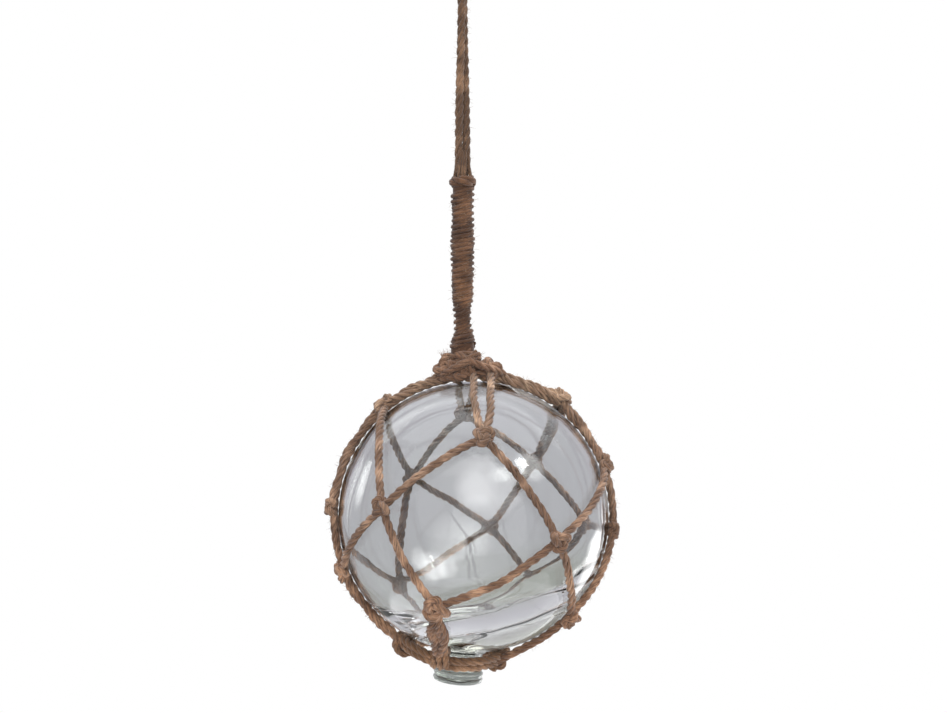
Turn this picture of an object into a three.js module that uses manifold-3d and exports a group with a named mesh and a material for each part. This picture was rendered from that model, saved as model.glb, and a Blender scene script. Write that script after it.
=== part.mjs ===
// Glass float ball in a tied twine net, hung from a served rope hanger.
//
// Millimetres, +Z up. The origin is the hanging eye: the inside top of the rope's loop, where a hook bears.
// The float hangs below it. The camera side is -Y.

import * as THREE from 'three';
import { mergeVertices } from 'three/addons/utils/BufferGeometryUtils.js';
import Module from 'manifold-3d';

const wasm = await Module();
wasm.setup();

// ---------------------------------------------------------------- driving dimensions

const GLASS_RADIUS = 50;
const GLASS_CENTRE = new THREE.Vector3(4, 0, -232);
const GAP = 0.3;                      // left between pieces that touch

const TWINE_RADIUS = 1.3;             // three-ply jute twine of the net
const TWINE_LIE = GLASS_RADIUS + GAP + 0.15 + TWINE_RADIUS; // radius at which a strand's middle lies on the glass

const SEAL_TILT = 5.5;                // degrees, the glass seal leans to -X
const RING_TILT = 9;                  // degrees, so does the foot ring around it
const RING_RADIUS = 18;               // foot ring, to the middle of its twine
const RING_DISTANCE = 54;             // from the ball's centre to the middle of the foot ring's twine
const RING_TWINE_RADIUS = 1.5;

const HANGER_X = -4;                  // the hanger's axis, from the ball's centre
const CROWN_TOP = 62;                 // heights above the ball's centre
const WHIPPING_TOP = 121.7;
const COLLAR_TOP = 126.5;
const CORD_RADIUS = 1.4;              // doubled hanging cord
const CORD_STEPS = 66;

// Knots of the net: latitude, longitude (0 at -Y, 90 at +X), and how far each stands off the glass.
const KNOTS = {
  upper_front: [40, 5, 0],
  upper_right: [53, 95, 3],
  upper_back: [45, -174, 0],
  upper_left: [51, -94, 1],
  front_left: [9.5, -39, 0],
  front_right: [-3, 35, 0],
  right_high: [23, 86, 0.5],
  right_low: [-5, 85, 0],
  left: [4, -87, 0.5],
  back_left: [11, -151, 0],
  back: [-13, 172, 0],
  back_right_high: [17, 150, 0],
  back_right_low: [-8, 120, 0],
  low_left: [-21, -78, 0.5],
  low_front: [-30, -17, 0.5],
  low_right: [-41, 62, 0.5],
  low_back_left: [-36, -135, 0],
  low_back_right: [-39, 142, 0],
};

// Runs of twine: from, to, strands side by side, their spacing, a sideways bow at the middle, and layers.
const RUNS = [
  ['crown', 'upper_front', 2, 6, 0, 1],
  ['crown', 'upper_right', 2, 2.7, 0, 2],
  ['crown', 'upper_back', 2, 6, 0, 1],
  ['crown', 'upper_left', 2, 2.7, 0, 2],
  ['upper_right', 'right_high', 2, 2.7, 0, 1],
  ['upper_right', 'back_right_high', 2, 2.8, 0, 1],
  ['upper_left', 'left', 2, 2.7, 0, 1],
  ['upper_left', 'front_left', 1, 0, 5, 1],
  ['upper_left', 'back_left', 1, 0, 0, 1],
  ['upper_front', 'front_left', 1, 0, 0, 1],
  ['upper_front', 'front_right', 1, 0, 0, 1],
  ['upper_back', 'back_left', 1, 0, 0, 1],
  ['upper_back', 'back_right_high', 1, 0, 0, 1],
  ['right_high', 'front_right', 1, 0, 0, 1],
  ['right_high', 'right_low', 1, 0, 0, 1],
  ['front_left', 'low_left', 1, 0, 0, 1],
  ['front_left', 'low_front', 1, 0, 0, 1],
  ['front_right', 'low_front', 1, 0, 0, 1],
  ['front_right', 'low_right', 1, 0, 0, 1],
  ['left', 'low_left', 1, 0, 0, 1],
  ['left', 'low_back_left', 1, 0, 0, 1],
  ['right_low', 'low_right', 1, 0, 0, 1],
  ['right_low', 'back_right_low', 1, 0, 0, 1],
  ['back_right_high', 'back', 1, 0, 0, 1],
  ['back_right_high', 'back_right_low', 1, 0, 0, 1],
  ['back_left', 'back', 1, 0, 0, 1],
  ['back_left', 'low_back_left', 1, 0, 0, 1],
  ['back', 'low_back_left', 1, 0, 0, 1],
  ['back', 'low_back_right', 1, 0, 0, 1],
  ['back_right_low', 'low_back_right', 1, 0, 0, 1],
  ['low_left', 'ring', 2, 3, 0, 1],
  ['low_front', 'ring', 2, 3.4, 0, 1],
  ['low_right', 'ring', 1, 0, 0, 1],
  ['low_back_left', 'ring', 1, 0, 0, 1],
  ['low_back_right', 'ring', 1, 0, 0, 1],
];

// One leg of the hanging cord, from the collar up to the top of the eye. The other leg is this one turned
// half a turn about the hanger's axis, so the pair is laid up together and opens into the eye.
const CORD_LEG = [
  [-1.60, -0.30, -105.2],
  [-1.62, -0.30, -101],
  [-1.62, -0.45, -95],
  [-1.56, -0.75, -87],
  [-1.40, -1.00, -79],
  [-1.15, -1.25, -71],
  [-0.90, -1.42, -63],
  [-0.65, -1.55, -55],
  [-0.42, -1.62, -47],
  [-0.25, -1.75, -40],
  [-0.12, -2.60, -33],
  [0.00, -4.30, -26],
  [0.00, -5.70, -19],
  [0.00, -6.30, -12],
  [0.00, -5.70, -5.5],
  [0.00, -3.60, -0.4],
];
const CORD_EYE_TOP = [0, 0, 1.4];

// ---------------------------------------------------------------- helpers

const degrees = THREE.MathUtils.degToRad;

/** A point on a ball of the given radius about the glass's centre. */
function onBall(latitude, longitude, radius) {
  const level = Math.cos(degrees(latitude));
  return new THREE.Vector3(
    level * Math.sin(degrees(longitude)),
    -level * Math.cos(degrees(longitude)),
    Math.sin(degrees(latitude)),
  ).multiplyScalar(radius);
}

/** A closed geometry as a manifold solid. */
function solidOf(geometry) {
  const bare = geometry.clone();
  bare.deleteAttribute('normal');
  bare.deleteAttribute('uv');
  const merged = mergeVertices(bare, 1e-4);
  const index = merged.index.array;
  const triangles = [];
  for (let i = 0; i < index.length; i += 3) {
    const [a, b, c] = [index[i], index[i + 1], index[i + 2]];
    if (a !== b && b !== c && c !== a) triangles.push(a, b, c);
  }
  return new wasm.Manifold(new wasm.Mesh({
    numProp: 3,
    vertProperties: new Float32Array(merged.attributes.position.array),
    triVerts: new Uint32Array(triangles),
  }));
}

/** Solids joined into one. */
const joined = (solids) => solids.reduce((sum, solid) => sum.add(solid));

/** A manifold solid as a geometry. */
function geometryOf(solid) {
  const mesh = solid.getMesh();
  const geometry = new THREE.BufferGeometry();
  geometry.setAttribute('position', new THREE.BufferAttribute(new Float32Array(mesh.vertProperties), 3));
  geometry.setIndex(new THREE.BufferAttribute(new Uint32Array(mesh.triVerts), 1));
  return geometry;
}

/** A round rod swept along points. */
function rod(points, radius, sides, steps) {
  const section = new THREE.Shape();
  section.absarc(0, 0, radius, 0, 2 * Math.PI);
  return new THREE.ExtrudeGeometry(section, {
    steps,
    curveSegments: sides / 2,
    extrudePath: new THREE.CatmullRomCurve3(points),
  });
}

/** An ellipsoid, its short axis along `out`. */
function lump(centre, out, wide, thick, around = 6, rows = 4) {
  const shape = new THREE.SphereGeometry(1, around, rows);
  shape.rotateX(Math.PI / 2);
  shape.scale(wide, wide, thick);
  const turn = new THREE.Quaternion().setFromUnitVectors(new THREE.Vector3(0, 0, 1), out.clone().normalize());
  shape.applyQuaternion(turn);
  shape.translate(centre.x, centre.y, centre.z);
  return shape;
}

/** Points of a taut line from a to b over the ball: straight while it clears the glass, else lying on it. */
function over(a, b, spread, bow, rise) {
  const [ra, rb] = [a.length(), b.length()];
  const [ua, ub] = [a.clone().normalize(), b.clone().normalize()];
  const angle = ua.angleTo(ub);
  const side = new THREE.Vector3().crossVectors(ua, ub).normalize();
  const count = Math.max(3, Math.round(angle * TWINE_LIE / 10));
  const touch = (radius) => Math.acos(Math.min(1, TWINE_LIE / radius));
  const points = [];
  for (let i = 0; i <= count; i += 1) {
    const t = i / count;
    const at = t * angle;
    const chord = ra * rb * Math.sin(angle) / (ra * Math.sin(at) + rb * Math.sin(angle - at));
    const leaving = at < touch(ra) ? TWINE_LIE / Math.cos(touch(ra) - at) : TWINE_LIE;
    const meeting = angle - at < touch(rb) ? TWINE_LIE / Math.cos(touch(rb) - angle + at) : TWINE_LIE;
    const radius = Math.max(TWINE_LIE, chord, leaving, meeting);
    const along = ua.clone().multiplyScalar(Math.sin(angle - at)).addScaledVector(ub, Math.sin(at));
    along.normalize().multiplyScalar(radius);
    along.addScaledVector(side, spread * (1 - t ** 4) + bow * Math.sin(Math.PI * t));
    points.push(along.setLength(radius + rise * (1 - t ** 6)));
  }
  return points;
}

/** A surface of revolution about +Z from [radius, height] pairs that start and end on the axis. */
function turned(profile, segments) {
  const points = profile.map(([radius, height]) => new THREE.Vector2(radius, height));
  return new THREE.LatheGeometry(points, segments).rotateX(Math.PI / 2);
}

function material(colour, roughness, extra = {}) {
  return new THREE.MeshStandardMaterial({ color: colour, roughness, metalness: 0, ...extra });
}

const GLASS = material('#c3cac6', 0.04, { transparent: true, opacity: 0.35 });
const TWINE = material('#8a6647', 0.9);
const DARK_TWINE = material('#6d4a33', 0.9);
const SERVING = material('#86694c', 0.9);

// ---------------------------------------------------------------- glass float

/** Hand-blown ball with a flat button of glass sealing the blow hole. */
function glassFloat() {
  const join = 10;
  const start = Math.asin(join / GLASS_RADIUS);
  const rows = 13;
  const arc = Array.from({ length: rows + 1 }, (_, i) => {
    const angle = start + (Math.PI - start) * i / rows;
    return [i === rows ? 0 : GLASS_RADIUS * Math.sin(angle), -GLASS_RADIUS * Math.cos(angle)];
  });
  const seal = [[0, -62], [6.8, -62], [9.2, -60.6], [9.2, -58.4], [7.4, -56.4], [7.6, -53]];
  return turned([...seal, ...arc], 26);
}

// ---------------------------------------------------------------- foot ring

/** Two turns of twine, one on the other, around the seal. `grown` thickens them for cutting clearance. */
function footRing(grown = 0) {
  const height = -Math.sqrt(RING_DISTANCE ** 2 - RING_RADIUS ** 2);
  const turns = [[RING_RADIUS, height - 1.1], [RING_RADIUS + 0.9, height + 1.3]];
  return joined(turns.map(([radius, level]) => {
    const turn = new THREE.TorusGeometry(radius, RING_TWINE_RADIUS + grown, 6, 20);
    turn.translate(0, 0, level).rotateY(degrees(RING_TILT));
    return solidOf(turn);
  }));
}

/** The point where a run from `knot` meets the foot ring. */
function ringPoint(knot) {
  const axis = new THREE.Vector3(-Math.sin(degrees(RING_TILT)), 0, -Math.cos(degrees(RING_TILT)));
  const away = knot.clone().addScaledVector(axis, -knot.dot(axis)).normalize();
  const height = Math.sqrt(RING_DISTANCE ** 2 - RING_RADIUS ** 2);
  return axis.multiplyScalar(height).addScaledVector(away, RING_RADIUS + 0.45);
}

// ---------------------------------------------------------------- crown knot

const CROWN_CENTRE = new THREE.Vector3(HANGER_X + 1.6, 0, 56.4);

/** The hitch that gathers the net under the hanger: a turn of twine with a lobe on each side. */
function crownKnot(grown = 0) {
  const up = new THREE.Vector3(0, 0, 1);
  const body = lump(CROWN_CENTRE, up, 8 + grown, 5.2 + grown, 14, 8);
  const left = lump(new THREE.Vector3(-10.6, -0.8, 56.6), up, 3.9 + grown, 4.6 + grown, 10, 6);
  const right = lump(new THREE.Vector3(5.6, -1.5, 54.8), up, 3.9 + grown, 3.2 + grown, 10, 6);
  const neck = turned([[0, 56], [5.4 + grown, 56], [5.4 + grown, CROWN_TOP + grown], [0, CROWN_TOP + grown]], 14);
  neck.translate(HANGER_X, 0, 0);
  return joined([body, left, right, neck].map(solidOf));
}

// ---------------------------------------------------------------- net

/** The net of tied diamonds, one piece of twine work from the crown to the foot ring. */
function net() {
  const spots = { crown: CROWN_CENTRE };
  const solids = [];
  for (const [name, [latitude, longitude, lift]] of Object.entries(KNOTS)) {
    spots[name] = onBall(latitude, longitude, TWINE_LIE + lift);
    const middle = spots[name].clone().setLength(TWINE_LIE + lift + 0.75);
    solids.push(lump(middle, middle, 3.7, 1.95));
  }
  for (const [from, to, strands, spacing, bow, layers] of RUNS) {
    const a = spots[from];
    const b = to === 'ring' ? ringPoint(a) : spots[to];
    for (let i = 0; i < strands * layers; i += 1) {
      const spread = (i % strands - (strands - 1) / 2) * spacing;
      const points = over(a, b, spread, bow, Math.floor(i / strands) * 2 * TWINE_RADIUS);
      solids.push(rod(points, TWINE_RADIUS, 6, points.length - 1));
    }
  }
  const whole = joined(solids.map(solidOf));
  return whole.subtract(crownKnot(GAP + 0.05)).subtract(footRing(GAP + 0.05));
}

// ---------------------------------------------------------------- hanger

/** Serving of twine wound tight around the hanger's legs: the shape of its turns, from the crown up. */
function whipping() {
  const waist = [
    [62.3, 5.2], [66, 4.7], [69, 3.3], [76, 3.3], [81, 4.1], [92, 4.4], [103, 4.7], [111, 4.2], [121.7, 4.5],
  ];
  const radiusAt = (height) => {
    const i = Math.max(1, waist.findIndex(([level]) => level >= height - 1e-9));
    const [[z0, r0], [z1, r1]] = [waist[i - 1], waist[i]];
    return r0 + (r1 - r0) * (height - z0) / (z1 - z0);
  };
  const turns = 22;
  const bottom = CROWN_TOP + GAP;
  const pitch = (WHIPPING_TOP - bottom) / turns;
  const profile = [[0, bottom]];
  for (let i = 0; i <= 2 * turns; i += 1) {
    const height = bottom + i * pitch / 2;
    profile.push([radiusAt(Math.min(height, WHIPPING_TOP)) - (i % 2 ? 0 : 0.55), height]);
  }
  profile.push([0, WHIPPING_TOP]);
  return turned(profile, 10).translate(HANGER_X, 0, 0);
}

/** The bulged end of the serving, where the doubled cord goes in. */
function whippingCollar() {
  const bottom = WHIPPING_TOP + GAP;
  const profile = [
    [0, bottom], [3.9, bottom], [4.7, bottom + 1.2], [4.7, bottom + 2.6], [3.9, COLLAR_TOP - 0.5],
    [3.4, COLLAR_TOP], [0, COLLAR_TOP],
  ];
  return turned(profile, 14).translate(HANGER_X, 0, 0);
}

/** Doubled cord: up one leg, over the eye and down the other. Its points are measured from the eye. */
function hangingCord() {
  const up = CORD_LEG.map(([x, y, z]) => new THREE.Vector3(x, y, z));
  const down = CORD_LEG.map(([x, y, z]) => new THREE.Vector3(-x, -y, z)).reverse();
  const points = [...up, new THREE.Vector3(...CORD_EYE_TOP), ...down];
  return rod(points, CORD_RADIUS, 8, CORD_STEPS);
}

// ---------------------------------------------------------------- the whole

const part = new THREE.Group();
const ball = new THREE.Group();
ball.position.copy(GLASS_CENTRE);
part.add(ball);

function addPiece(parent, name, geometry, finish) {
  const mesh = new THREE.Mesh(geometry, finish);
  mesh.name = name;
  parent.add(mesh);
  return mesh;
}

addPiece(ball, 'glass_float', glassFloat(), GLASS).rotation.y = degrees(SEAL_TILT);
addPiece(ball, 'net', geometryOf(net()), TWINE);
addPiece(ball, 'foot_ring', geometryOf(footRing()), DARK_TWINE);
addPiece(ball, 'crown_knot', geometryOf(crownKnot()), DARK_TWINE);
addPiece(ball, 'whipping', whipping(), SERVING);
addPiece(ball, 'whipping_collar', whippingCollar(), SERVING);
addPiece(part, 'hanging_cord', hangingCord(), TWINE);

export default part;
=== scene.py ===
# %% [markdown]
# # A glass float ball in a net of twine
#
# Fishermen once floated their nets on balls like this one. It is a hand-blown glass bubble, sealed at the bottom
# with a button of glass, tied into a net of jute twine, and hung from a doubled cord.
#
# First come the frame, the camera and the light. Then come jute, a way to lay up twine, the cord and the glass.
# Last comes each thing that is tied round the glass.

# %% Load the frame
import math
import random

import bmesh
import bpy
from mathutils import Matrix, Quaternion, Vector, noise


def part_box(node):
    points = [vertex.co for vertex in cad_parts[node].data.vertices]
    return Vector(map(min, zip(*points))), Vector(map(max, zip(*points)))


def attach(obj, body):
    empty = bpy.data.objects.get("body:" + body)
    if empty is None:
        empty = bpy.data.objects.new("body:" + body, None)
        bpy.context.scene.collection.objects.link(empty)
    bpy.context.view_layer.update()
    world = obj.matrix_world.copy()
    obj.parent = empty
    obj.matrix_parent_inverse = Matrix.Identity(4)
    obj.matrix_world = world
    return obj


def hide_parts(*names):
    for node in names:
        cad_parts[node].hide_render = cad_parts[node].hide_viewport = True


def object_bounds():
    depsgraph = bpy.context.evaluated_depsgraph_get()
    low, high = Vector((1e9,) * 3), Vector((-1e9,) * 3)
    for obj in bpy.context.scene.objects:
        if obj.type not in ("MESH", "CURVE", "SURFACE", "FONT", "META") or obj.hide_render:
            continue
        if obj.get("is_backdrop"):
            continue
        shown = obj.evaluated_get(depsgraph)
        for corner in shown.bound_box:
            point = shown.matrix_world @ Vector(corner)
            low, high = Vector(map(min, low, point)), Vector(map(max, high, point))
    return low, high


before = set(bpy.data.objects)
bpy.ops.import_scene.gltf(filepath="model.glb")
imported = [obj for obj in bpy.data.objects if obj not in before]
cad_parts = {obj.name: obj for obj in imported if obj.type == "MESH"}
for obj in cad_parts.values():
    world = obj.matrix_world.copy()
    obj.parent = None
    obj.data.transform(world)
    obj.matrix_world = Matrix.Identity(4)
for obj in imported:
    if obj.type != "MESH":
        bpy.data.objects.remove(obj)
cad_box = [list(corner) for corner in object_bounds()]
MM = 0.001
print("frame box, mm:", [[round(v / MM, 1) for v in corner] for corner in cad_box])


# %% Helpers for objects and shader nodes
def add_object(name, data):
    """A new object in the scene."""
    made = bpy.data.objects.new(name, data)
    bpy.context.scene.collection.objects.link(made)
    return made


def add_nodes(tree, *kinds):
    """New shader nodes of these kinds."""
    return [tree.nodes.new("ShaderNode" + kind) for kind in kinds]


def set_inputs(node, values):
    """Sets a shader node's inputs by name."""
    for name, value in values.items():
        node.inputs[name].default_value = value


# %% [markdown]
# Everything is measured from two places: the middle of the ball, and the hanging eye, which is the origin. The
# ball's radius is read from the glass node. Its middle lies a known way below the foot of the serving.

# %% Find the ball
glass_low, glass_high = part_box("glass_float")
serving_low, serving_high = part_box("whipping")
RADIUS = (glass_high.y - glass_low.y) / 2
HANGER_OFFSET = 4.0 * MM          # the hanger stands this far to the left of the ball's middle
SERVING_FOOT = 62.3 * MM          # and its serving starts this far above it
BALL = Vector(((serving_low.x + serving_high.x) / 2 + HANGER_OFFSET, 0, serving_low.z - SERVING_FOOT))

# %% [markdown]
# The camera stands a little above the ball and looks at a point on the hanger, so that the ball sits low in the
# view and the cord runs out of its top. A long lens keeps the ball round.

# %% Camera
CAMERA_DISTANCE = 0.80
CAMERA_RISE = math.radians(8)
AIM_ABOVE_BALL = 59.5 * MM
LENS = 81.6

camera_data = bpy.data.cameras.new("camera")
camera_data.lens = LENS
camera = add_object("camera", camera_data)
camera.location = BALL + CAMERA_DISTANCE * Vector((0, -math.cos(CAMERA_RISE), math.sin(CAMERA_RISE)))
aim = BALL + Vector((0, 0, AIM_ABOVE_BALL))
camera.rotation_euler = (aim - camera.location).to_track_quat("-Z", "Y").to_euler()
bpy.context.scene.camera = camera

# %% [markdown]
# ## Light
#
# Clear glass has no colour of its own: it shows what is around it. So the room matters more than the glass. The
# camera sees a plain white background, but the rays that pass through or bounce off the glass meet a soft grey
# room, brighter overhead, with brighter patches where its windows and lamps are. A Light Path node tells the two
# kinds of ray apart.

# %% Room
# A height, from 0 straight down to 1 straight up, and the room's colour there.
ROOM_LOW = (0.25, (0.42, 0.43, 0.42, 1))
ROOM_MIDDLE = (0.5, (0.49, 0.48, 0.53, 1))
ROOM_TOP = (0.85, (0.66, 0.66, 0.71, 1))
# Each patch's direction from the ball, the angles from it in degrees at which the patch starts to fade and ends,
# and its strength.
ROOM_PATCHES = [
    ((0.24, -0.79, 0.57), 8, 34, 2.1),
    ((0.02, -0.86, 0.50), 4, 20, 1.6),
    ((-0.36, -0.74, -0.57), 3, 12, 2.6),
    ((0.66, 0.66, -0.36), 4, 14, 4.5),
    ((0.42, 0.87, -0.22), 4, 10, 1.6),
    ((0.40, 0.62, -0.68), 5, 20, 1.8),
    ((0.70, -0.30, 0.64), 7, 13, 3.0),
    ((-0.54, -0.62, -0.57), 6, 15, 4.0),
]

world = bpy.data.worlds.new("room")
bpy.context.scene.world = world
world.use_nodes = True
world.node_tree.nodes.clear()
links = world.node_tree.links
direction, height, spread, bands, seen = add_nodes(
    world.node_tree, "TexCoord", "SeparateXYZ", "MapRange", "ValToRGB", "LightPath",
)
choose, soft_room, white, output = add_nodes(
    world.node_tree, "MixShader", "Background", "Background", "OutputWorld",
)
spread.inputs["From Min"].default_value = -1
white.inputs["Color"].default_value = (1, 1, 1, 1)
bands.color_ramp.elements[0].position, bands.color_ramp.elements[0].color = ROOM_LOW
bands.color_ramp.elements[1].position, bands.color_ramp.elements[1].color = ROOM_TOP
middle_band = bands.color_ramp.elements.new(ROOM_MIDDLE[0])
middle_band.color = ROOM_MIDDLE[1]
links.new(direction.outputs["Generated"], height.inputs["Vector"])
links.new(height.outputs["Z"], spread.inputs["Value"])
links.new(spread.outputs["Result"], bands.inputs["Fac"])


def glow(light_so_far, towards, inner, outer, strength):
    """Adds a soft bright patch of the room to a colour socket. It fades from `inner` to `outer` degrees."""
    facing, edge, total = add_nodes(world.node_tree, "VectorMath", "MapRange", "VectorMath")
    facing.operation = "DOT_PRODUCT"
    facing.inputs[1].default_value = Vector(towards).normalized()
    edge.interpolation_type = "SMOOTHSTEP"
    set_inputs(edge, {
        "From Min": math.cos(math.radians(outer)), "From Max": math.cos(math.radians(inner)), "To Max": strength,
    })
    total.operation = "ADD"
    links.new(direction.outputs["Generated"], facing.inputs[0])
    links.new(facing.outputs["Value"], edge.inputs["Value"])
    links.new(light_so_far, total.inputs[0])
    links.new(edge.outputs["Result"], total.inputs[1])
    return total.outputs["Vector"]


room_light = bands.outputs["Color"]
for patch in ROOM_PATCHES:
    room_light = glow(room_light, *patch)
links.new(room_light, soft_room.inputs["Color"])
links.new(seen.outputs["Is Camera Ray"], choose.inputs["Fac"])
links.new(soft_room.outputs["Background"], choose.inputs[1])
links.new(white.outputs["Background"], choose.inputs[2])
links.new(choose.outputs["Shader"], output.inputs["Surface"])
bpy.context.scene.view_settings.view_transform = "Standard"

# %% [markdown]
# Light that gets into the thick base is reflected many times before it leaves. With too few bounces those rays
# end black, so the limits are raised.

# %% Bounces
BOUNCES = 28
rays = bpy.context.scene.cycles
rays.max_bounces = BOUNCES
rays.transmission_bounces = BOUNCES
rays.glossy_bounces = BOUNCES

# %% [markdown]
# Five soft boxes light the jute. The glass mirrors only the window. The three above, behind and below the ball
# don't show through it either.


# %% Soft boxes
def soft_box(name, towards, distance, size, watts, mirrored=False, seen_through=False):
    """An area light that faces the ball, from the direction `towards`, with its size in metres."""
    data = bpy.data.lights.new(name, "AREA")
    data.shape = "RECTANGLE"
    data.size, data.size_y = size
    data.energy = watts
    box = add_object(name, data)
    place = Vector(towards).normalized()
    box.location = BALL + place * distance
    box.rotation_euler = place.to_track_quat("Z", "Y").to_euler()
    box.visible_camera = False
    box.visible_glossy = mirrored
    box.visible_transmission = seen_through


soft_box("window", (0.60, -0.38, 0.70), 0.9, (0.10, 0.10), 0.5, mirrored=True, seen_through=True)
soft_box("key", (-0.25, -0.90, 0.42), 1.0, (1.50, 1.50), 5.6, seen_through=True)
soft_box("overhead", (0.05, 0.45, 0.95), 0.9, (1.10, 0.90), 11.0)
soft_box("backdrop", (0.0, 1.0, 0.05), 1.0, (1.20, 1.20), 7.0)
soft_box("low_right", (0.80, 0.10, -0.60), 0.9, (0.45, 0.22), 3.0)

# %% [markdown]
# A round pale table stands below the ball, too low for the camera to see. It is there to send light up into the
# glass.

# %% Floor
FLOOR_DROP = 0.5                  # below the ball, in metres
FLOOR_RADIUS = 0.6
floor_mesh = bpy.data.meshes.new("floor")
bm = bmesh.new()
bmesh.ops.create_circle(bm, cap_ends=True, segments=96, radius=FLOOR_RADIUS)
bmesh.ops.translate(bm, verts=bm.verts, vec=(BALL.x, 0, glass_low.z - FLOOR_DROP))
bm.to_mesh(floor_mesh)
bm.free()
floor = add_object("floor", floor_mesh)
floor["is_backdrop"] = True

floor_paint = bpy.data.materials.new("floor_paint")
floor_paint.use_nodes = True
set_inputs(floor_paint.node_tree.nodes["Principled BSDF"], {"Base Color": (0.8, 0.8, 0.8, 1), "Roughness": 0.9})
floor_mesh.materials.append(floor_paint)

# %% [markdown]
# ## Jute
#
# Jute is a coarse golden-brown fibre. Seen close, each strand is streaked along its length. Painted shade darkens
# it between the streaks, and painted highlights brighten it in patches along them. The net also has painted warm
# light low down and paler painted light high up. The streaks have to follow the strand, so they are drawn on its
# UV map, which runs along a bevelled curve. The rest is drawn in the object's own space. Every jute material uses
# the same node group with its own colours.

# %% Node group: jute fibre
# Painted light by height: a warm painted light low down, and a paler painted light high up.
PAINTED_WARM_LIGHT_HEIGHTS = (BALL.z + 10 * MM, BALL.z - 35 * MM)    # the heights where the low tint starts and where it is whole
PAINTED_TOP_LIGHT_HEIGHTS = (BALL.z + 30 * MM, BALL.z + 46 * MM)      # and those of the high tint


def make_jute_group():
    """The group's outputs are a colour, and a height for the bump."""
    tree = bpy.data.node_groups.new("jute_fibre", "ShaderNodeTree")
    for way, kind, names in (
        ("INPUT", "NodeSocketColor", ("Light", "Middle", "Dark", "Painted Warm Light", "Painted Top Light")),
        ("INPUT", "NodeSocketFloat", ("Along", "Around")),
        ("OUTPUT", "NodeSocketColor", ("Color",)),
        ("OUTPUT", "NodeSocketFloat", ("Height",)),
    ):
        for name in names:
            tree.interface.new_socket(name=name, in_out=way, socket_type=kind)
    new, link = tree.nodes.new, tree.links.new
    given, put, coords = new("NodeGroupInput"), new("NodeGroupOutput"), new("ShaderNodeTexCoord")

    def grain(place, scale, detail, roughness=0.5):
        """Noise, drawn at a place that a vector socket gives."""
        texture = new("ShaderNodeTexNoise")
        set_inputs(texture, {"Scale": scale, "Detail": detail, "Roughness": roughness})
        link(place, texture.inputs["Vector"])
        return texture.outputs["Fac"]

    def ranged(value, low, high):
        """0 where the value is `low`, rising to 1 where it is `high`."""
        share = new("ShaderNodeMapRange")
        set_inputs(share, {"From Min": low, "From Max": high})
        link(value, share.inputs["Value"])
        return share.outputs["Result"]

    def mixed(share, a, b, blend="MIX"):
        """Colour `a` with as much of colour `b` as `share` says."""
        mix = new("ShaderNodeMix")
        mix.data_type, mix.blend_type = "RGBA", blend
        link(share, mix.inputs["Factor"])
        link(a, mix.inputs["A"])
        link(b, mix.inputs["B"])
        return mix.outputs["Result"]

    def maths(operation, a, b):
        node = new("ShaderNodeMath")
        node.operation = operation
        link(a, node.inputs[0])
        link(b, node.inputs[1])
        return node.outputs["Value"]

    stretch, streak_place = new("ShaderNodeCombineXYZ"), new("ShaderNodeMapping")
    level = new("ShaderNodeSeparateXYZ")
    link(given.outputs["Around"], stretch.inputs["X"])
    link(given.outputs["Along"], stretch.inputs["Y"])
    link(coords.outputs["UV"], streak_place.inputs["Vector"])
    link(stretch.outputs["Vector"], streak_place.inputs["Scale"])
    link(coords.outputs["Object"], level.inputs["Vector"])
    streaks = grain(streak_place.outputs["Vector"], 1.0, 6.0, 0.7)
    painted_highlight_patches = grain(coords.outputs["Object"], 120.0, 3.0)
    specks = grain(coords.outputs["Object"], 1500.0, 4.0)

    # Painted shade in the dark colour between the streaks, painted highlights in the light colour where a streak
    # meets a patch, and the middle colour elsewhere.
    out_of_painted_shade = ranged(streaks, 0.36, 0.60)
    painted_highlight_spots = maths("MULTIPLY", ranged(painted_highlight_patches, 0.48, 0.72), out_of_painted_shade)
    colour = mixed(out_of_painted_shade, given.outputs["Dark"], given.outputs["Middle"])
    colour = mixed(painted_highlight_spots, colour, given.outputs["Light"])
    # Painted warm light low down, and paler painted light high up.
    colour = mixed(ranged(level.outputs["Z"], *PAINTED_WARM_LIGHT_HEIGHTS), colour, given.outputs["Painted Warm Light"], "MULTIPLY")
    colour = mixed(ranged(level.outputs["Z"], *PAINTED_TOP_LIGHT_HEIGHTS), colour, given.outputs["Painted Top Light"], "MULTIPLY")
    link(colour, put.inputs["Color"])
    link(maths("ADD", streaks, specks), put.inputs["Height"])
    return tree


JUTE_GROUP = make_jute_group()


# %% Jute materials
# Leaves out the painted light high up.
NO_PAINTED_TOP_LIGHT = (1, 1, 1)


def jute(name, light, middle, dark, along=12.0, around=7.0, bump=0.6,
         painted_warm_light=(1.15, 1.04, 0.93), painted_top_light=(1.35, 1.45, 1.45)):
    """Jute: streaked, dull, with the faint halo of its loose fibres as sheen, and painted shade and light."""
    paint = bpy.data.materials.new(name)
    paint.use_nodes = True
    new, link = paint.node_tree.nodes.new, paint.node_tree.links.new
    shader = paint.node_tree.nodes["Principled BSDF"]
    fibre, relief = new("ShaderNodeGroup"), new("ShaderNodeBump")
    fibre.node_tree = JUTE_GROUP
    set_inputs(fibre, {
        "Light": (*light, 1), "Middle": (*middle, 1), "Dark": (*dark, 1), "Along": along, "Around": around,
        "Painted Warm Light": (*painted_warm_light, 1), "Painted Top Light": (*painted_top_light, 1),
    })
    set_inputs(relief, {"Strength": bump, "Distance": 0.25 * MM})
    set_inputs(shader, {
        "Roughness": 0.88, "Specular IOR Level": 0.25, "Sheen Weight": 0.22, "Sheen Roughness": 0.5,
    })
    link(fibre.outputs["Height"], relief.inputs["Height"])
    link(fibre.outputs["Color"], shader.inputs["Base Color"])
    link(relief.outputs["Normal"], shader.inputs["Normal"])
    return paint


# Each jute's colours: its painted highlight, its middle colour and its painted shade.
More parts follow.
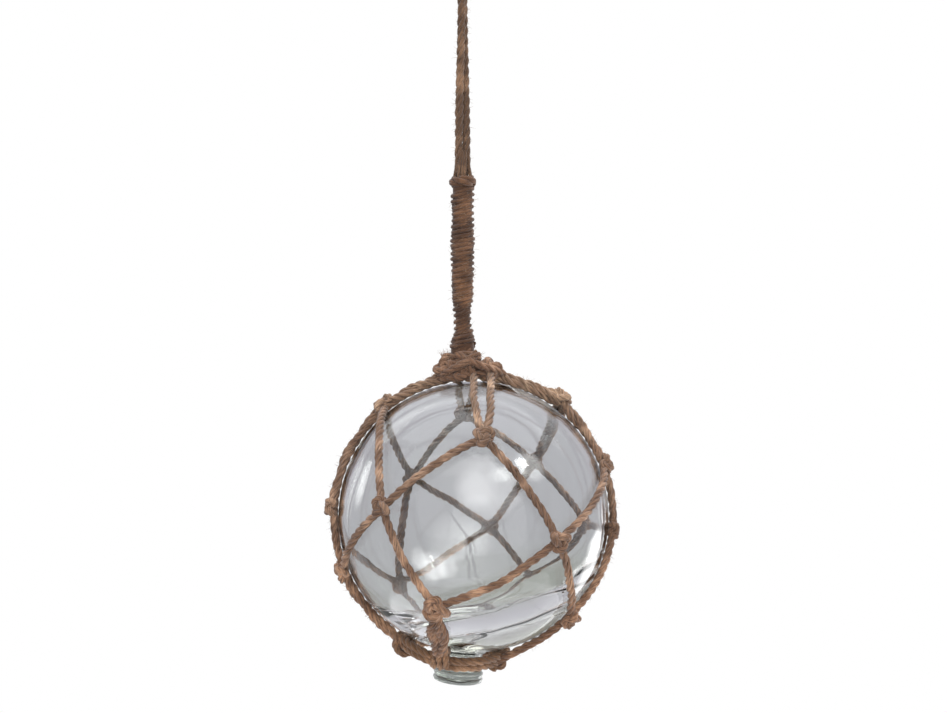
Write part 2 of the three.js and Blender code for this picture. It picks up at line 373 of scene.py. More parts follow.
NET_JUTE = jute("net_jute", (0.554, 0.356, 0.232), (0.215, 0.123, 0.0768), (0.021, 0.012, 0.008))
RING_JUTE = jute("ring_jute", (0.56, 0.358, 0.224), (0.224, 0.132, 0.0773), (0.026, 0.015, 0.009), along=60.0)
CROWN_JUTE = jute(
    "crown_jute", (0.543, 0.33, 0.206), (0.218, 0.114, 0.0649), (0.022, 0.013, 0.009),
    along=30.0, painted_top_light=NO_PAINTED_TOP_LIGHT,
)
SERVING_JUTE = jute(
    "serving_jute", (0.264, 0.13, 0.0638), (0.101, 0.0462, 0.022), (0.012, 0.006, 0.004),
    along=260.0, painted_top_light=NO_PAINTED_TOP_LIGHT,
)
CORD_JUTE = jute(
    "cord_jute", (0.356, 0.205, 0.113), (0.144, 0.0782, 0.0425), (0.016, 0.009, 0.006),
    along=110.0, painted_top_light=NO_PAINTED_TOP_LIGHT,
)
FIBRE_JUTE = jute(
    "fibre_jute", (0.36, 0.25, 0.165), (0.22, 0.14, 0.088), (0.10, 0.06, 0.038), along=1.0, around=1.0, bump=0.05,
)

# %% [markdown]
# ## Laying up twine
#
# Twine is three yarns twisted round each other. A twist that is only painted on a tube stays flat, so the yarns
# are real here. Each one is a helix round the twine's middle line, drawn as a curve with a round bevel and then
# made a mesh. It is thicker in some places than in others, as spun jute is.


# %% Lines and frames
def distances(line):
    """How far along a line each of its points is."""
    travelled = [0.0]
    for a, b in zip(line, line[1:]):
        travelled.append(travelled[-1] + (b - a).length)
    return travelled


def resampled(points, step):
    """Points a step apart along a polyline."""
    lengths = distances(points)
    count = max(2, round(lengths[-1] / step))
    result, segment = [], 0
    for i in range(count + 1):
        at = lengths[-1] * i / count
        while segment < len(points) - 2 and lengths[segment + 1] < at:
            segment += 1
        span = lengths[segment + 1] - lengths[segment]
        share = (at - lengths[segment]) / span if span > 0 else 0
        result.append(points[segment].lerp(points[segment + 1], min(1.0, share)))
    return result


def smooth_line(points, per_span=12):
    """A Catmull-Rom line through given points."""
    padded = [2 * points[0] - points[1], *points, 2 * points[-1] - points[-2]]
    line = []
    for p0, p1, p2, p3 in zip(padded, padded[1:], padded[2:], padded[3:]):
        for i in range(per_span):
            t = i / per_span
            bend = 2 * p1 + (p2 - p0) * t
            bend += (2 * p0 - 5 * p1 + 4 * p2 - p3) * t**2 + (3 * p1 - p0 - 3 * p2 + p3) * t**3
            line.append(bend / 2)
    line.append(points[-1].copy())
    return line


def length_of(line):
    return sum((b - a).length for a, b in zip(line, line[1:]))


def frames_along(line):
    """A pair of directions across the line at each point, carried along without spinning."""
    last = len(line) - 1
    tangents = [(line[min(i + 1, last)] - line[max(i - 1, 0)]).normalized() for i in range(last + 1)]
    across = tangents[0].orthogonal().normalized()
    pairs = []
    for i, tangent in enumerate(tangents):
        if i:
            across = tangents[i - 1].rotation_difference(tangent) @ across
        across = (across - tangent * across.dot(tangent)).normalized()
        pairs.append((across.copy(), tangent.cross(across)))
    return pairs


# %% Twine
YARNS = 3
YARN_ORBIT = 0.255                # how far a yarn's middle is from the twine's, as a share of its thickness
YARN_RADIUS = 0.27                # and the yarn's own radius
YARN_SWELL = 0.13                 # how much of its radius a yarn gains or loses
SWELL_LENGTH = 4 * MM
random_thickness = random.Random(7)


def add_yarns(curve, line, thickness, pitch, closed=False, step=0.75 * MM, start=0.0):
    """Adds the three yarns of one run of twine to a curve. They turn once round the line in each `pitch`."""
    points = resampled(line, step)
    turns = length_of(points) / pitch
    if closed:
        points.pop()
        turns = max(1, round(turns))
    pairs = frames_along(points)
    drift = 0.0
    if closed:
        last = frames_along([*points, points[0], points[1]])[-2][0]
        first, second = pairs[0]
        drift = math.atan2(last.dot(second), last.dot(first))
    orbit = thickness * YARN_ORBIT
    seed = random_thickness.uniform(0, 100)
    for yarn in range(YARNS):
        spline = curve.splines.new("POLY")
        spline.points.add(len(points) - 1)
        spline.use_cyclic_u = closed
        for i, (point, (across, up)) in enumerate(zip(points, pairs)):
            share = i / len(points) if closed else i / (len(points) - 1)
            angle = start + 2 * math.pi * (turns * share + yarn / YARNS) - drift * share
            place = point + orbit * (math.cos(angle) * across + math.sin(angle) * up)
            swell = 1 + YARN_SWELL * noise.noise(point / SWELL_LENGTH + Vector((seed, yarn * 9.0, 0)))
            spline.points[i].co = (*place, 1)
            spline.points[i].radius = swell


def new_curve(name, radius, resolution=0, caps=False):
    """A curve whose lines are drawn as round strands."""
    curve = bpy.data.curves.new(name, "CURVE")
    curve.dimensions = "3D"
    curve.bevel_depth = radius
    curve.bevel_resolution = resolution
    curve.use_fill_caps = caps
    return curve


def twine_curve(name, thickness):
    """A curve for the yarns of twine of this thickness."""
    return new_curve(name, thickness * YARN_RADIUS, 2, True)


def roughen(mesh, depth):
    """Pushes each vertex in or out a little, so that a yarn's skin is as uneven as spun fibre."""
    places = [vert.co.copy() for vert in mesh.vertices]
    normals = [vert.normal.copy() for vert in mesh.vertices]
    moved = []
    for place, normal in zip(places, normals):
        swell = noise.noise(place / (0.8 * MM)) + 0.8 * noise.noise(place / (2.4 * MM))
        moved.extend(place + normal * depth * swell)
    mesh.vertices.foreach_set("co", moved)
    mesh.update()


def mesh_piece(name, curve, paint, rough=0.0):
    """Makes a curve a mesh piece that rides on the float. `rough` is how deep its skin is uneven."""
    maker = add_object(name + "_maker", curve)
    bpy.context.view_layer.update()
    mesh = bpy.data.meshes.new_from_object(maker.evaluated_get(bpy.context.evaluated_depsgraph_get()))
    bpy.data.objects.remove(maker)
    mesh.name = name
    mesh.materials.clear()
    mesh.materials.append(paint)
    if rough:
        roughen(mesh, rough)
    mesh.shade_smooth()
    piece = add_object(name, mesh)
    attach(piece, "root")
    return piece


# %% [markdown]
# ## Hanging cord
#
# One cord goes up from the serving, makes the eye that a hook goes through, and comes back down. Its two legs
# are laid half a turn round each other. The route is a short list of points for one leg; the other leg is the
# same list turned half a turn about the hanger.

# %% Hanging cord
CORD_THICKNESS = 3.0 * MM          # over its hairy skin
CORD_LEG = [
    (-1.40, -0.30, -105.2), (-1.40, -0.30, -101), (-1.36, -0.45, -95), (-1.26, -0.70, -87),
    (-1.14, -0.90, -79), (-0.96, -1.10, -71), (-0.76, -1.24, -63), (-0.55, -1.38, -55),
    (-0.38, -1.48, -47), (-0.25, -1.75, -40), (-0.12, -2.60, -33), (0.00, -4.30, -26),
    (0.00, -5.70, -19), (0.00, -6.30, -12), (0.00, -5.70, -5.5), (0.00, -3.60, -0.4),
]
CORD_EYE_TOP = (0, 0, 1.4)

leg_up = [Vector(p) * MM for p in CORD_LEG]
leg_down = [Vector((-p.x, -p.y, p.z)) for p in reversed(leg_up)]
cord_line = smooth_line([*leg_up, Vector(CORD_EYE_TOP) * MM, *leg_down])
cord_curve = twine_curve("hanging_cord_twine", CORD_THICKNESS)
add_yarns(cord_curve, cord_line, CORD_THICKNESS, 11 * MM, step=0.6 * MM)
cord = mesh_piece("hanging_cord_twine", cord_curve, CORD_JUTE, 0.12 * MM)
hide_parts("hanging_cord")
print("cord length, mm:", round(length_of(cord_line) / MM, 1))

# %% [markdown]
# ## The glass
#
# The ball is one blown bubble. Its outside is a sphere that runs down into the seal, a flat button pressed on
# while the glass was hot. Its inside is a cavity, and molten glass sank before it set, so the cavity's lower half
# is shallower than a ball and the base is thick. Both walls are spun from a profile. The cavity's faces point
# into the cavity, which is out of the glass, because a face tells light on which side of it the glass is.


# %% Spin a profile
def spun(profile, steps):
    """A bmesh turned about +Z from (radius, height) pairs in millimetres that start and end on the axis."""
    shape = bmesh.new()
    verts = [shape.verts.new((radius * MM, 0, level * MM)) for radius, level in profile]
    edges = [shape.edges.new(pair) for pair in zip(verts, verts[1:])]
    bmesh.ops.spin(
        shape, geom=verts + edges, cent=(0, 0, 0), axis=(0, 0, 1), angle=2 * math.pi,
        steps=steps, use_merge=True, use_duplicate=False,
    )
    bmesh.ops.remove_doubles(shape, verts=shape.verts, dist=1e-7)
    bmesh.ops.recalc_face_normals(shape, faces=shape.faces)
    return shape


def turned(shape, verts, angle, axis):
    """Turns vertices about an axis through the middle."""
    bmesh.ops.rotate(shape, verts=verts, cent=(0, 0, 0), matrix=Matrix.Rotation(angle, 3, axis))


def waved(shape, size, depth, seed):
    """Moves each vertex in or out by a soft noise, as hand-blown glass is never quite true."""
    for vert in shape.verts:
        swell = noise.noise(vert.co / size + Vector((seed, 0, 0)))
        vert.co += vert.co.normalized() * depth * swell


# %% Glass float
SEAL_TILT = math.radians(5.5)
SEAL_MEETS = 12                   # the distance from the axis, in mm, where the seal's profile meets the ball
GLASS_GROWN = 1.004               # the glass fills the small gap under the twine
ARC_STEPS = 110
SPIN_STEPS = 176
CAVITY_RADIUS = 47.9              # in mm
CAVITY_FLOOR = 39.5               # how far down the cavity's shallow floor is, from the middle, in mm
CAVITY_CORNER = 6                 # the corner's sharpness
CAVITY_LEAN = math.radians(-20)   # the glass sank to the right of the seal before it set
STREAK_DEPTH = 0.45 * MM          # the cavity's low wall is drawn into level streaks
SEAL = [
    (0, -61.0), (3.0, -61.2), (5.6, -61.8), (7.6, -62.0), (8.8, -61.5), (9.25, -60.6), (9.0, -59.8),
    (8.7, -59.4), (9.1, -58.9), (9.2, -58.2), (8.6, -57.4), (7.7, -56.6), (7.3, -55.6), (7.3, -54.2),
    (7.7, -52.6), (8.7, -50.8), (10.4, -49.3),
]

radius_mm = RADIUS / MM
first_angle = math.asin(SEAL_MEETS / radius_mm)
outer_arc = [first_angle + (math.pi - first_angle) * i / ARC_STEPS for i in range(ARC_STEPS + 1)]
outer_profile = SEAL + [(radius_mm * math.sin(a), -radius_mm * math.cos(a)) for a in outer_arc]
outer_profile[-1] = (0, radius_mm)
outer = spun(outer_profile, SPIN_STEPS)
bmesh.ops.scale(outer, verts=outer.verts, vec=(GLASS_GROWN, GLASS_GROWN, GLASS_GROWN))
waved(outer, 38 * MM, 0.15 * MM, 3.0)


def cavity_reach(down):
    """How far the cavity reaches at an angle from straight down: a ball, cut by a floor with a soft corner."""
    ball = CAVITY_RADIUS**-CAVITY_CORNER
    floor = (max(0.0, math.cos(down)) / CAVITY_FLOOR) ** CAVITY_CORNER
    return (ball + floor) ** (-1 / CAVITY_CORNER)


inner_profile = []
for i in range(ARC_STEPS + 1):
    down = math.pi * i / ARC_STEPS
    reach = cavity_reach(down)
    inner_profile.append((reach * math.sin(down), -reach * math.cos(down)))
inner_profile[-1] = (0, CAVITY_RADIUS)
inner = spun(inner_profile, SPIN_STEPS)
waved(inner, 26 * MM, 0.35 * MM, 11.0)
for vert in inner.verts:
    # 0 down to 8 mm below the middle, and 1 from 30 mm below it.
    lowness = max(0.0, min(1.0, (-vert.co.z / MM - 8) / 22))
    turn = math.atan2(vert.co.y, vert.co.x)
    streak = noise.noise(Vector((2.2 * math.cos(turn), 2.2 * math.sin(turn), vert.co.z / (6 * MM))))
    vert.co += vert.co.normalized() * STREAK_DEPTH * lowness * streak
turned(inner, inner.verts, CAVITY_LEAN, "Y")
bmesh.ops.reverse_faces(inner, faces=inner.faces)

# %% [markdown]
# Small bubbles, called seeds, are trapped in the thick base. Each is a tiny ball whose faces point inwards, out
# of the glass, like the cavity's. Most are drawn out sideways by the glassblower's turning.

# %% Seeds in the glass
SEED_COUNT = 26
SEED_CEILING = -(CAVITY_FLOOR + 1.5) * MM
seed_spots = random.Random(21)
seeds = bmesh.new()
for _ in range(SEED_COUNT):
    heading = seed_spots.uniform(0, 2 * math.pi)
    out = seed_spots.uniform(2, 22) * MM
    wall_of_ball = -math.sqrt(RADIUS**2 - out**2)
    level = SEED_CEILING + (wall_of_ball - SEED_CEILING) * seed_spots.uniform(0.3, 0.8)
    size = seed_spots.uniform(0.12, 0.42) * MM
    made = bmesh.ops.create_icosphere(seeds, subdivisions=2, radius=size)["verts"]
    bmesh.ops.scale(seeds, verts=made, vec=(seed_spots.uniform(1, 2.4), 1, 1))
    turned(seeds, made, heading + math.pi / 2, "Z")
    bmesh.ops.translate(seeds, verts=made, vec=(out * math.cos(heading), out * math.sin(heading), level))
bmesh.ops.reverse_faces(seeds, faces=seeds.faces)

# %% Join the walls into one piece of glass
glass_mesh = bpy.data.meshes.new("glass_ball")
whole = bmesh.new()
for shape in (outer, inner, seeds):
    part_mesh = bpy.data.meshes.new("wall")
    shape.to_mesh(part_mesh)
    shape.free()
    whole.from_mesh(part_mesh)
    bpy.data.meshes.remove(part_mesh)
turned(whole, whole.verts, SEAL_TILT, "Y")
bmesh.ops.translate(whole, verts=whole.verts, vec=BALL)
whole.to_mesh(glass_mesh)
whole.free()
glass_mesh.shade_smooth()
glass = add_object("glass_ball", glass_mesh)
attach(glass, "root")
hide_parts("glass_float")

# %% [markdown]
# The glass is a plain clear shader: full transmission and an index of refraction of 1.5. The base is thick, so
# its own grey-green shows there, fading out up the walls. Waves in the surface are a bump, and finger smears are
# a little roughness in patches.

# %% Glass material
WALL_COLOUR = (0.945, 0.957, 0.945, 1)
BASE_COLOUR = (0.66, 0.68, 0.60, 1)
BASE_FADES = (32 * MM, 41 * MM)   # how far down the cavity's lean the base's colour starts, and where it is whole
SEAL_COLOUR = (0.36, 0.40, 0.35, 1)
SEAL_STARTS = RADIUS + 1.2 * MM   # from the ball's middle

clear_glass = bpy.data.materials.new("clear_glass")
clear_glass.use_nodes = True
link = clear_glass.node_tree.links.new
shader = clear_glass.node_tree.nodes["Principled BSDF"]
place, ripple, smear, wave, smear_depth = add_nodes(
    clear_glass.node_tree, "TexCoord", "TexNoise", "TexNoise", "Bump", "MapRange",
)
set_inputs(shader, {"Transmission Weight": 1.0, "IOR": 1.5})
set_inputs(ripple, {"Scale": 40.0, "Detail": 2.0, "Distortion": 0.8})
set_inputs(wave, {"Strength": 0.04, "Distance": 1.0 * MM})
set_inputs(smear, {"Scale": 70.0, "Detail": 5.0})
set_inputs(smear_depth, {"From Min": 0.52, "From Max": 0.75, "To Max": 0.04})
link(place.outputs["Object"], ripple.inputs["Vector"])
link(place.outputs["Object"], smear.inputs["Vector"])
link(ripple.outputs["Fac"], wave.inputs["Height"])
link(wave.outputs["Normal"], shader.inputs["Normal"])
link(smear.outputs["Fac"], smear_depth.inputs["Value"])
link(smear_depth.outputs["Result"], shader.inputs["Roughness"])

from_middle, depth, thickness, tint = add_nodes(
    clear_glass.node_tree, "VectorMath", "VectorMath", "MapRange", "Mix",
)
from_middle.operation = "SUBTRACT"
from_middle.inputs[1].default_value = BALL
depth.operation = "DOT_PRODUCT"
depth.inputs[1].default_value = (-math.sin(CAVITY_LEAN), 0, -math.cos(CAVITY_LEAN))
tint.data_type = "RGBA"
set_inputs(thickness, {"From Min": BASE_FADES[0], "From Max": BASE_FADES[1]})
set_inputs(tint, {"A": WALL_COLOUR, "B": BASE_COLOUR})
link(place.outputs["Object"], from_middle.inputs[0])
link(from_middle.outputs["Vector"], depth.inputs[0])
link(depth.outputs["Value"], thickness.inputs["Value"])
link(thickness.outputs["Result"], tint.inputs["Factor"])
link(tint.outputs["Result"], shader.inputs["Base Color"])
glass_mesh.materials.append(clear_glass)

# %% [markdown]
# The seal is darker still. It is the same shader with one plain colour.

# %% Seal glass
seal_glass = clear_glass.copy()
seal_glass.name = "seal_glass"
seal_colour = seal_glass.node_tree.nodes["Principled BSDF"].inputs["Base Color"]
seal_glass.node_tree.links.remove(seal_colour.links[0])
seal_colour.default_value = SEAL_COLOUR
glass_mesh.materials.append(seal_glass)
for face in glass_mesh.polygons:
    if (face.center - BALL).length > SEAL_STARTS:
        face.material_index = 1

# %% [markdown]
# ## The net
#
# The net is a map of knots on a globe, with runs of twine between them. A run is taut: it goes straight where it
# clears the glass and lies on the glass where it would otherwise cut through it. The knots and the runs are all
# that is needed to tie it.

# %% Knots and runs
TWINE = 2.6 * MM
TWINE_SEEN = 2.95 * MM            # over its hairy skin
TWINE_LIE = RADIUS + 0.45 * MM + TWINE / 2    # its middle's distance from the ball's where it lies on the glass
CROWN = Vector((-2.4, 0, 55.2)) * MM
RING_TILT = math.radians(9)
RING_RADIUS = 18 * MM
RING_DISTANCE = 54 * MM           # from the ball's middle to the ring's twine
RING_STEP = 0.9 * MM              # how much wider the ring's second turn is than its first
# Latitude and longitude in degrees, and how far the knot stands off the glass in mm.
KNOTS = {
    "upper_front": (40, 5, 0),
    "upper_right": (53, 95, 2.4),
    "upper_back": (45, -174, 0),
    "upper_left": (51, -94, 0.6),
    "front_left": (9.5, -39, 0),
    "front_right": (-3, 35, 0),
    "right_high": (22, 86, 0),
    "right_low": (-5, 86, -0.9),
    "left": (4, -87, 0),
    "back_left": (11, -151, 0),
    "back": (-13, 172, 0),
    "back_right_high": (17, 150, 0),
    "back_right_low": (-8, 120, 0),
    "low_left": (-21, -78, 0),
    "low_front": (-30, -17, 0.5),
    "low_right": (-41, 62, 0.5),
    "low_back_left": (-36, -135, 0),
    "low_back_right": (-39, 142, 0),
}


def run(start_knot, end_knot, strands=1, spacing=0.0, bow=0.0):
    """A run of twine. Its strands are `spacing` mm apart, or twisted together, and it bows sideways in mm."""
    return start_knot, end_knot, strands, spacing, bow


RUNS = [
    run("crown_front", "upper_front", 2, 6.4),
    run("crown", "upper_right", 4),
    run("crown", "upper_back", 2, 6),
    run("crown", "upper_left", 3),
    run("upper_right", "right_high", 2),
    run("upper_right", "back_right_high", 2, 2.8),
    run("upper_left", "left", 2),
    run("upper_left", "front_left", 1, 0, 5),
    run("upper_left", "back_left"),
    run("upper_front", "front_left"),
    run("upper_front", "front_right"),
    run("upper_back", "back_left"),
    run("upper_back", "back_right_high"),
    run("right_high", "front_right"),
    run("right_high", "right_low"),
    run("front_left", "low_left"),
    run("front_left", "low_front"),
    run("front_right", "low_front"),
    run("front_right", "low_right"),
    run("left", "low_left"),
    run("left", "low_back_left"),
    run("right_low", "low_right"),
    run("right_low", "back_right_low"),
    run("back_right_high", "back"),
    run("back_right_high", "back_right_low"),
    run("back_left", "back"),
    run("back_left", "low_back_left"),
    run("back", "low_back_left"),
    run("back", "low_back_right"),
    run("back_right_low", "low_back_right"),
    run("low_left", "ring", 2),
    run("low_front", "ring", 2, 0, 1.6),
    run("low_front", "ring", 2, 0, -1.6),
    run("low_right", "ring"),
    run("low_back_left", "ring"),
    run("low_back_right", "ring"),
]


# %% Places on the globe
def on_ball(latitude, longitude, radius):
    """A point about the ball's middle: longitude 0 is the front, 90 the right."""
    level = math.cos(math.radians(latitude))
    turn = math.radians(longitude)
    height = math.sin(math.radians(latitude))
    return Vector((level * math.sin(turn), -level * math.cos(turn), height)) * radius


RING_AXIS = Vector((-math.sin(RING_TILT), 0, -math.cos(RING_TILT)))
RING_DROP = math.sqrt(RING_DISTANCE**2 - RING_RADIUS**2)


def ring_point(knot):
    """Where a run from a knot meets the foot ring."""
    away = (knot - RING_AXIS * knot.dot(RING_AXIS)).normalized()
    return RING_AXIS * RING_DROP + away * (RING_RADIUS + RING_STEP / 2)


def over(a, b, spread, bow, seed=0.0, count=28):
    """A taut line from a to b over the ball, with the small sway of hand-tied twine.

    It starts `spread` to one side of a, so that a run's strands come together at b.
    """
    ra, rb = a.length, b.length
    ua, ub = a.normalized(), b.normalized()
    angle = ua.angle(ub)
    side = ua.cross(ub).normalized()
    touch_a = math.acos(min(1, TWINE_LIE / ra))
    touch_b = math.acos(min(1, TWINE_LIE / rb))
    points = []
    for i in range(count + 1):
        t = i / count
        at = t * angle
        chord = ra * rb * math.sin(angle) / (ra * math.sin(at) + rb * math.sin(angle - at))
        leaving = TWINE_LIE / math.cos(touch_a - at) if at < touch_a else TWINE_LIE
        meeting = TWINE_LIE / math.cos(touch_b - angle + at) if angle - at < touch_b else TWINE_LIE
        radius = max(TWINE_LIE, chord, leaving, meeting)
        along = (ua * math.sin(angle - at) + ub * math.sin(at)).normalized() * radius
        sway = 0.7 * MM * noise.noise(Vector((3 * t, seed, 0))) * math.sin(math.pi * t)
        along += side * (spread * (1 - t**4) + bow * math.sin(math.pi * t) + sway)
        points.append(along.normalized() * radius)
    return points


# %% Tie the runs
spots = {name: on_ball(lat, lon, TWINE_LIE + lift * MM) for name, (lat, lon, lift) in KNOTS.items()}
spots["crown"] = CROWN
spots["crown_front"] = CROWN + Vector((5.4, -3.0, -1.0)) * MM
# How far each of this many twisted strands is from their middle line, as a share of their thickness.
LAID_ORBIT = {1: 0.0, 2: 0.36, 3: 0.50, 4: 0.60}
LAID_PITCH = 34 * MM
ANY_TURN = (0, 6.28)


def laid_up(line, strands, thickness, pitch, start):
    """Strands twisted round each other along a line, and pressed flat where the glass is in the way."""
    orbit = LAID_ORBIT[strands] * thickness
    lines = []
    for k in range(strands):
        strand = []
        for point, (across, up), s in zip(line, frames_along(line), distances(line)):
            a = start + 2 * math.pi * (k / strands + s / pitch)
            place = point + orbit * (math.cos(a) * across + math.sin(a) * up)
            strand.append(place.normalized() * max(place.length, TWINE_LIE))
        lines.append(strand)
    return lines


lay = random.Random(5)
run_lines = []
for number, (start_knot, end_knot, strands, spacing, bow) in enumerate(RUNS):
    a = spots[start_knot]
    b = ring_point(a) if end_knot == "ring" else spots[end_knot]
    if spacing:
        sides = [(i - (strands - 1) / 2) * spacing * MM for i in range(strands)]
        lines = [over(a, b, side, bow * MM, number + 0.3 * i) for i, side in enumerate(sides)]
    else:
        middle = over(a, b, 0, bow * MM, number)
        lines = laid_up(middle, strands, TWINE, LAID_PITCH, lay.uniform(*ANY_TURN))
    for line in lines:
        run_lines.append([BALL + p for p in line])
net_curve = twine_curve("net_runs", TWINE_SEEN)
for line in run_lines:
    add_yarns(net_curve, line, TWINE_SEEN, lay.uniform(9, 12) * MM, start=lay.uniform(*ANY_TURN))
net_runs = mesh_piece("net_runs", net_curve, NET_JUTE, 0.13 * MM)
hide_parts("net")

# %% [markdown]
# Each knot is an overhand knot, pulled tight. Closed on itself, that is the trefoil of the mathematicians: three
# lobes that pass over and under one another. It is flattened on the glass and turned a different way each time.


# %% Knots
def trefoil(centre, out, size, rise, spin, stretch=1.0, count=90):
    """The middle line of a tight overhand knot that lies across `out`."""
    turn = Vector((0, 0, 1)).rotation_difference(out.normalized()) @ Quaternion((0, 0, 1), spin)
    points = []
    for i in range(count + 1):
        t = 2 * math.pi * i / count
        flat = Vector((
            (math.sin(t) + 2 * math.sin(2 * t)) * size * stretch,
            (math.cos(t) - 2 * math.cos(2 * t)) * size / stretch,
            -math.sin(3 * t) * rise,
        ))
        points.append(centre + turn @ flat)
    return points


KNOT_TWINE = 2.8 * MM
KNOT_RISE = 1.05 * MM
KNOT_STANDS = 1.3 * MM            # how far a knot's middle is outside the runs' middle lines
KNOT_SIZE = {"low_front": 1.35, "right_low": 0.75, "left": 0.9, "back": 0.8}
knot_turns = random.Random(12)
knot_curve = twine_curve("net_knots", KNOT_TWINE)
for name, (latitude, longitude, lift) in KNOTS.items():
    out = on_ball(latitude, longitude, 1)
    centre = BALL + out * (TWINE_LIE + lift * MM + KNOT_STANDS)
    size = knot_turns.uniform(1.0, 1.15) * KNOT_SIZE.get(name, 1.0) * MM
    spin = knot_turns.uniform(*ANY_TURN)
    line = trefoil(centre, out, size, KNOT_RISE, spin, knot_turns.uniform(0.95, 1.12))
    add_yarns(knot_curve, line, KNOT_TWINE, 6.5 * MM, closed=True, step=0.55 * MM)
mesh_piece("net_knots", knot_curve, NET_JUTE, 0.13 * MM)

# %% [markdown]
# ## Foot ring
#
# The net is gathered at the bottom by a ring of twine that stops the seal from slipping through. It has two
# turns, one on the other, and the net's lower legs are hitched over it.

# %% Foot ring
RING_TWINE = 3.2 * MM
# For each turn: its radius, its height along the ring's axis, and its own noise.
RING_TURNS = [(RING_RADIUS, -RING_DROP - 1.1 * MM, 2.0), (RING_RADIUS + RING_STEP, -RING_DROP + 1.3 * MM, 5.0)]
RING_SWAY = 0.5 * MM
ring_turn = Quaternion((0, 1, 0), RING_TILT)


def ring_line(radius, level, seed, count=120):
    """One turn of the ring. The ball's weight pulls it a little oval, and its ends a little up."""
    points = []
    for i in range(count + 1):
        a = 2 * math.pi * i / count
        sway = RING_SWAY * noise.noise(Vector((math.cos(a) * 1.6, math.sin(a) * 1.6, seed)))
        wide = radius + sway + 0.9 * MM * math.cos(2 * a)
        flat = Vector((wide * math.cos(a), wide * math.sin(a), level + 0.6 * sway + 1.6 * MM * math.cos(2 * a)))
        points.append(BALL + ring_turn @ flat)
    return points


ring_curve = twine_curve("foot_ring_twine", RING_TWINE)
for radius, level, seed in RING_TURNS:
    add_yarns(ring_curve, ring_line(radius, level, seed), RING_TWINE, 9 * MM, closed=True)
foot_ring = mesh_piece("foot_ring_twine", ring_curve, RING_JUTE, 0.14 * MM)
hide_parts("foot_ring")


# %% Hitches over the foot ring
def hitch(centre, along, reach, turns, spread, steps_per_turn=26):
    """Turns of twine wound round a rope that runs `along` at `centre`."""
    across = along.orthogonal().normalized()
    up = along.cross(across).normalized()
    total = round(turns * steps_per_turn)
    points = []
    for i in range(total + 1):
        a = 2 * math.pi * i / steps_per_turn
        slide = spread * (i / total - 0.5)
        points.append(centre + along * slide + reach * (math.cos(a) * across + math.sin(a) * up))
    return points


HITCH_TWINE = TWINE * 0.92
HITCH_SPREAD = 5.2 * MM
# By how many strands come down: the hitch's radius, and its turns.
HITCHES = {1: (2.4 * MM, 1.2), 2: (3.2 * MM, 2.1)}
hitch_curve = twine_curve("foot_hitches", HITCH_TWINE)
for start_knot, end_knot, strands, spacing, bow in RUNS:
    if end_knot == "ring":
        meet = ring_point(spots[start_knot])
        along = RING_AXIS.cross(meet).normalized()
        add_yarns(hitch_curve, hitch(BALL + meet, along, *HITCHES[strands], HITCH_SPREAD), HITCH_TWINE, 8 * MM)
mesh_piece("foot_hitches", hitch_curve, RING_JUTE, 0.13 * MM)

# %% [markdown]
# ## Crown
#
# Above the ball the net's strands meet in one fat knot. Turns of twine bind them, lobes stand out on the left, on
# the right and in front, and a frayed end sticks up on the left.

# %% Crown knot
CROWN_TWINE = 2.9 * MM
CROWN_STEPS = 91
STEPS_PER_TURN = 26
# In mm: the binding's foot above the ball's middle and its height. Then its half width and half depth at the
# foot, each with how much of it the top has lost.
CROWN_FOOT, CROWN_HEIGHT = 51.9, 9.1
CROWN_WIDE, CROWN_DEEP = (9.6, 5.6), (6.8, 3.2)
CROWN_SHIFT = 1.6                 # how far the foot is to the right of the hanger
hanger_x = BALL.x - HANGER_OFFSET
crown_curve = twine_curve("crown_twine", CROWN_TWINE)
crown_turns = []
for i in range(CROWN_STEPS + 1):
    a = 2 * math.pi * i / STEPS_PER_TURN + 2.4
    rise = i / CROWN_STEPS
    wide, deep = (CROWN_WIDE[0] - CROWN_WIDE[1] * rise) * MM, (CROWN_DEEP[0] - CROWN_DEEP[1] * rise) * MM
    middle = hanger_x + (CROWN_SHIFT - CROWN_SHIFT * rise) * MM
    tip = 0.7 * MM * math.cos(a)
    level = BALL.z + (CROWN_FOOT + CROWN_HEIGHT * rise) * MM
    crown_turns.append(Vector((middle + wide * math.cos(a), deep * math.sin(a), level + tip)))
add_yarns(crown_curve, crown_turns, CROWN_TWINE, 12 * MM)

# Two strands that cross over the front, then two over the back, from the neck down to the net.
CROWN_CROSSINGS = [
    [(1.5, -4.2, 62.0), (-1.5, -6.6, 59.6), (-6.0, -7.0, 57.0), (-10.0, -4.6, 54.6), (-12.6, -1.0, 52.8)],
    [(-6.0, -4.0, 61.6), (-1.0, -6.9, 59.0), (3.8, -6.8, 57.0), (8.4, -4.0, 55.4), (11.0, -0.5, 54.0)],
    [(-1.0, 4.2, 61.6), (-4.5, 6.6, 58.6), (-8.5, 5.0, 55.8), (-11.5, 1.5, 53.4)],
    [(-6.5, 4.0, 61.4), (-1.5, 6.8, 58.4), (4.0, 6.2, 56.0), (8.6, 2.5, 54.2)],
]
CROSSING_DROP = 0.8
crossing_lines = []
for points in CROWN_CROSSINGS:
    crossing_lines.append(smooth_line([BALL + Vector((x, y, z - CROSSING_DROP)) * MM for x, y, z in points]))
for line in crossing_lines:
    add_yarns(crown_curve, line, CROWN_TWINE, 11 * MM)

